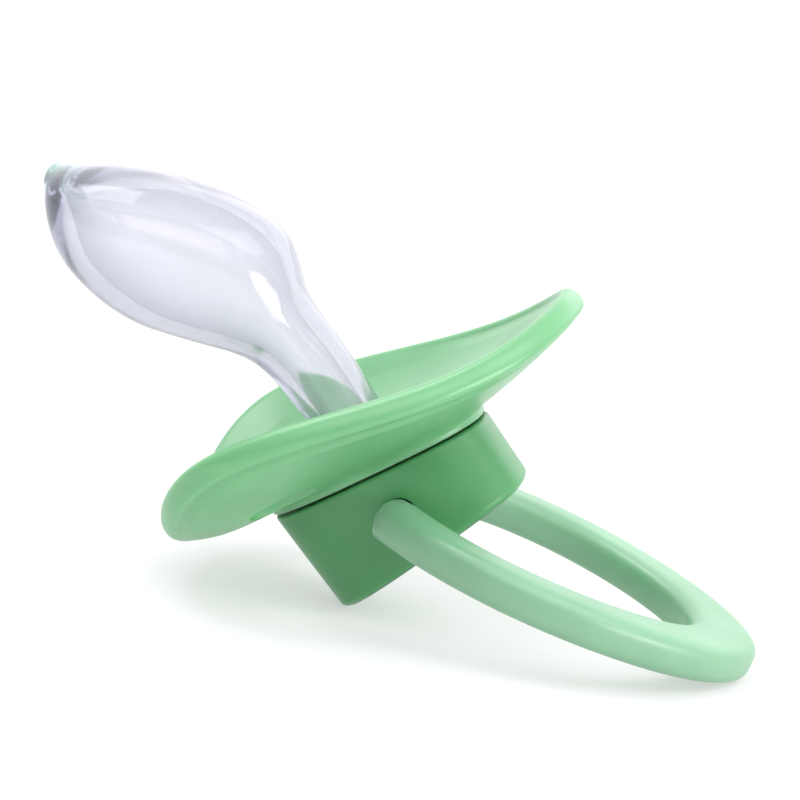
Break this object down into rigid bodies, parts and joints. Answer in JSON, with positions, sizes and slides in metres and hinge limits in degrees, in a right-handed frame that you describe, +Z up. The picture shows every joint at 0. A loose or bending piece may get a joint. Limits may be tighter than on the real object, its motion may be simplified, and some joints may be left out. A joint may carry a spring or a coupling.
{
  "type": "pacifier",
  "caption": "Baby pacifier with a dished green shield, a clear bent hollow teat, a knob housing and a hinged finger ring.",
  "frame": {"origin": "middle of the overall box's underside, on the surface that the pacifier lies on", "axes": "+Z up as it lies on the knob's back edge and the ring's outer end; +X from the teat's tip towards the ring, level; Y is the ring's hinge axis"},
  "size_m": [0.0704, 0.041, 0.0357],
  "materials": {
    "green_shield": "glossy moulded polypropylene",
    "green_knob": "glossy moulded polypropylene",
    "green_ring": "glossy moulded polypropylene",
    "clear_silicone": "clear glossy silicone"
  },
  "bodies": {
    "pacifier_body": {"shield": "green_shield", "teat": "clear_silicone", "knob_housing": "green_knob"},
    "ring": {"finger_ring": "green_ring"}
  },
  "joints": [
    {"name": "ring_hinge", "type": "hinge", "parent": "pacifier_body", "child": "ring", "pos_m": [0.00195, 0, 0.01014], "axis": [0, 1, 0], "range_deg": [-69, 146]}
  ]
}
